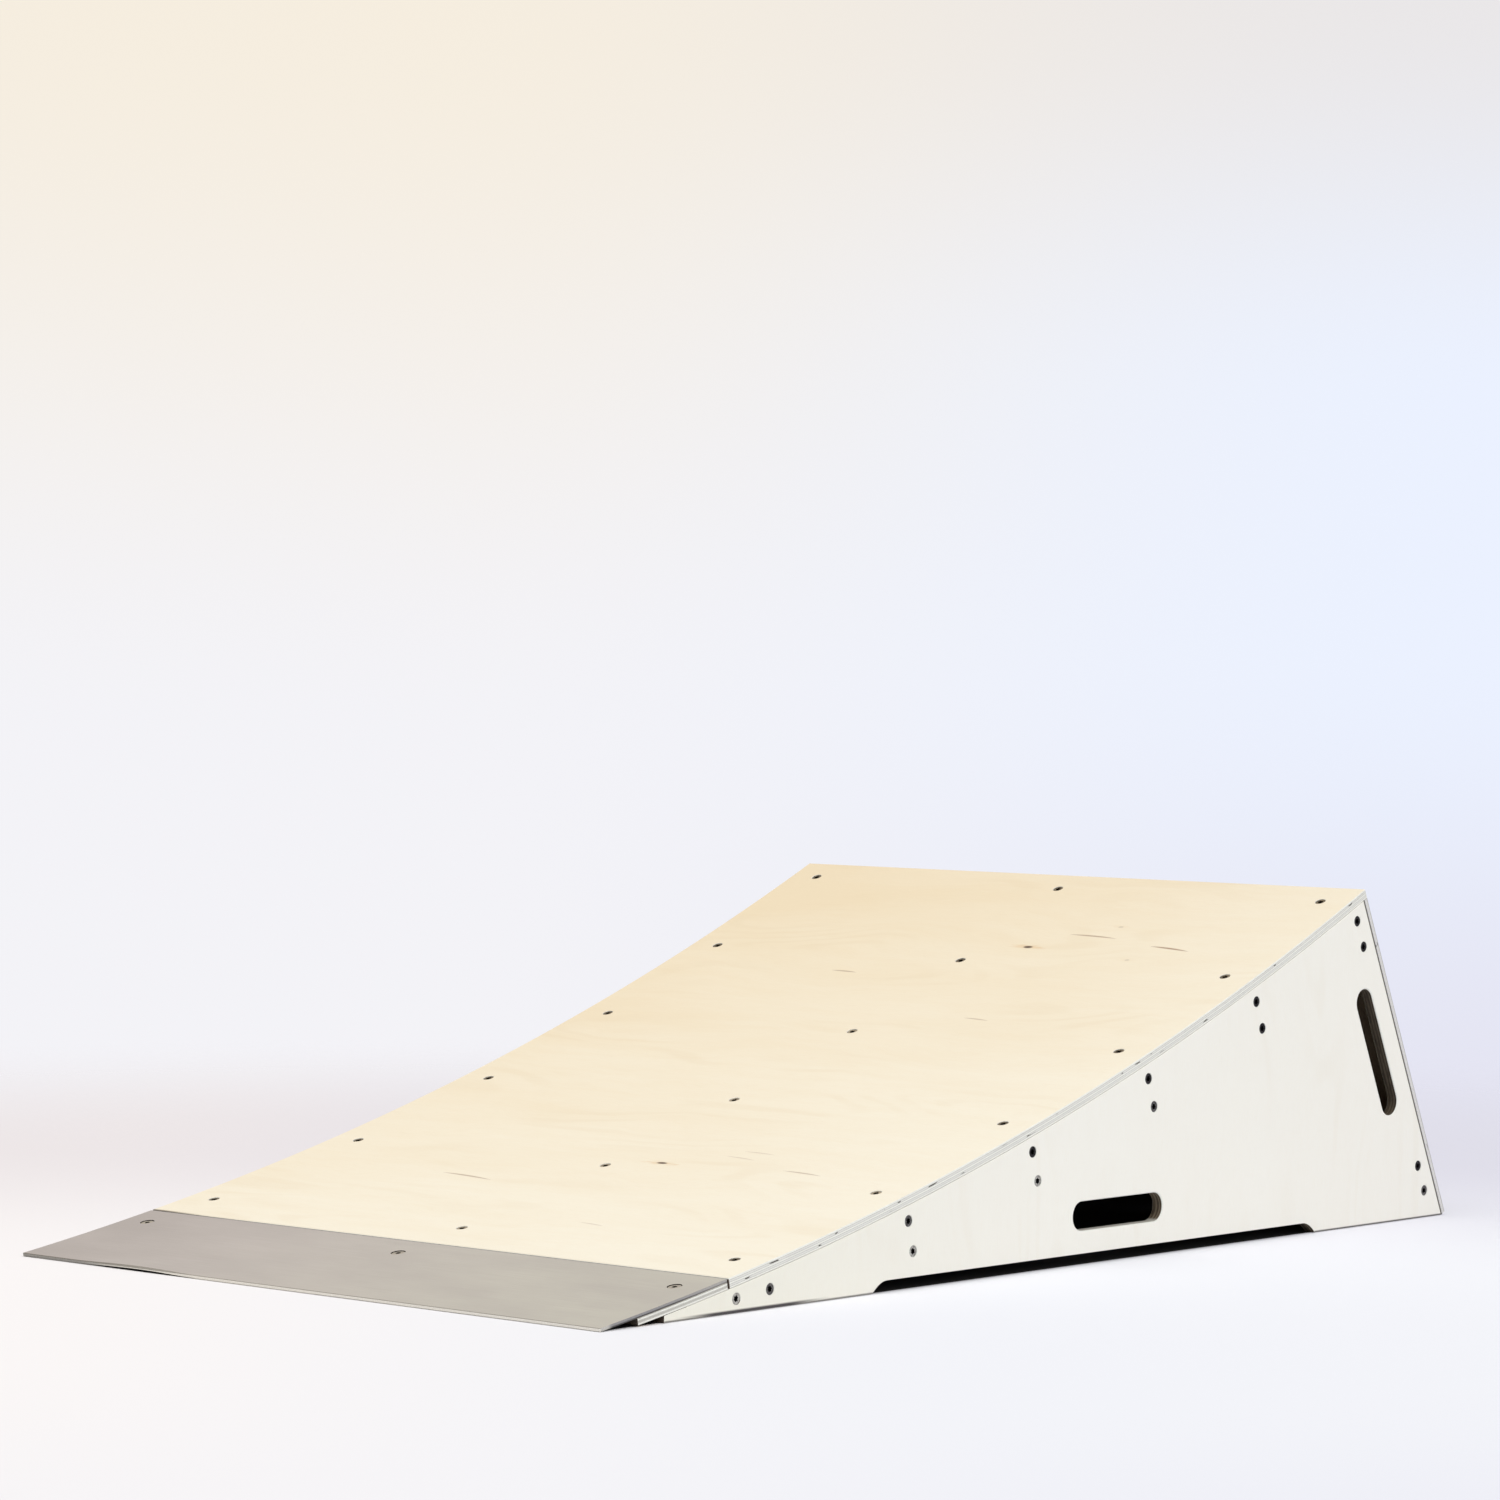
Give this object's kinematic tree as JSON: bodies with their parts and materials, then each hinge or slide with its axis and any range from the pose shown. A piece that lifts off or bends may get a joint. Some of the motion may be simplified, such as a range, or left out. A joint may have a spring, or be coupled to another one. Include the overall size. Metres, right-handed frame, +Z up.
{
  "type": "launch ramp",
  "caption": "Free-standing curved launch ramp: plywood riding sheet on side panels and battens, steel entry plate, hand slots in the sides.",
  "frame": {"origin": "on the floor, at the middle of the ramp's length and width", "axes": "+Y runs up the ramp from the steel tip to the high end, +X is to the right going up, +Z is up"},
  "size_m": [0.7, 1.2246, 0.3241],
  "materials": {
    "birch_face": "sanded birch plywood face, satin clear coat",
    "birch_side": "pale birch plywood, sanded, matt",
    "timber": "planed softwood, bare",
    "plate_steel": "brushed stainless steel sheet",
    "screw_steel": "zinc plated steel"
  },
  "bodies": {
    "root": {"riding_sheet": "birch_face", "front_board": "birch_face", "entry_plate": "plate_steel", "side_panel_right": "birch_side", "side_panel_left": "birch_side", "back_panel": "birch_side", "front_block": "timber", "batten_1": "timber", "batten_2": "timber", "batten_3": "timber", "batten_4": "timber", "rear_top_batten": "timber", "rear_bottom_batten": "timber", "face_screw_1_left": "screw_steel", "face_screw_1_middle": "screw_steel", "face_screw_1_right": "screw_steel", "face_screw_2_left": "screw_steel", "face_screw_2_middle": "screw_steel", "face_screw_2_right": "screw_steel", "face_screw_3_left": "screw_steel", "face_screw_3_middle": "screw_steel", "face_screw_3_right": "screw_steel", "face_screw_4_left": "screw_steel", "face_screw_4_middle": "screw_steel", "face_screw_4_right": "screw_steel", "face_screw_5_left": "screw_steel", "face_screw_5_middle": "screw_steel", "face_screw_5_right": "screw_steel", "face_screw_6_left": "screw_steel", "face_screw_6_middle": "screw_steel", "face_screw_6_right": "screw_steel", "plate_bolt_left": "screw_steel", "plate_bolt_middle": "screw_steel", "plate_bolt_right": "screw_steel", "side_screw_left_batten_1_upper": "screw_steel", "side_screw_left_batten_1_lower": "screw_steel", "side_screw_left_batten_2_upper": "screw_steel", "side_screw_left_batten_2_lower": "screw_steel", "side_screw_left_batten_3_upper": "screw_steel", "side_screw_left_batten_3_lower": "screw_steel", "side_screw_left_batten_4_upper": "screw_steel", "side_screw_left_batten_4_lower": "screw_steel", "side_screw_left_rear_top_batten_upper": "screw_steel", "side_screw_left_rear_top_batten_lower": "screw_steel", "side_screw_left_rear_bottom_batten_upper": "screw_steel", "side_screw_left_front_block_1": "screw_steel", "side_screw_left_front_block_2": "screw_steel", "side_screw_right_batten_1_upper": "screw_steel", "side_screw_right_batten_1_lower": "screw_steel", "side_screw_right_batten_2_upper": "screw_steel", "side_screw_right_batten_2_lower": "screw_steel", "side_screw_right_batten_3_upper": "screw_steel", "side_screw_right_batten_3_lower": "screw_steel", "side_screw_right_batten_4_upper": "screw_steel", "side_screw_right_batten_4_lower": "screw_steel", "side_screw_right_rear_top_batten_upper": "screw_steel", "side_screw_right_rear_top_batten_lower": "screw_steel", "side_screw_right_rear_bottom_batten_upper": "screw_steel", "side_screw_right_front_block_1": "screw_steel", "side_screw_right_front_block_2": "screw_steel"}
  },
  "joints": []
}
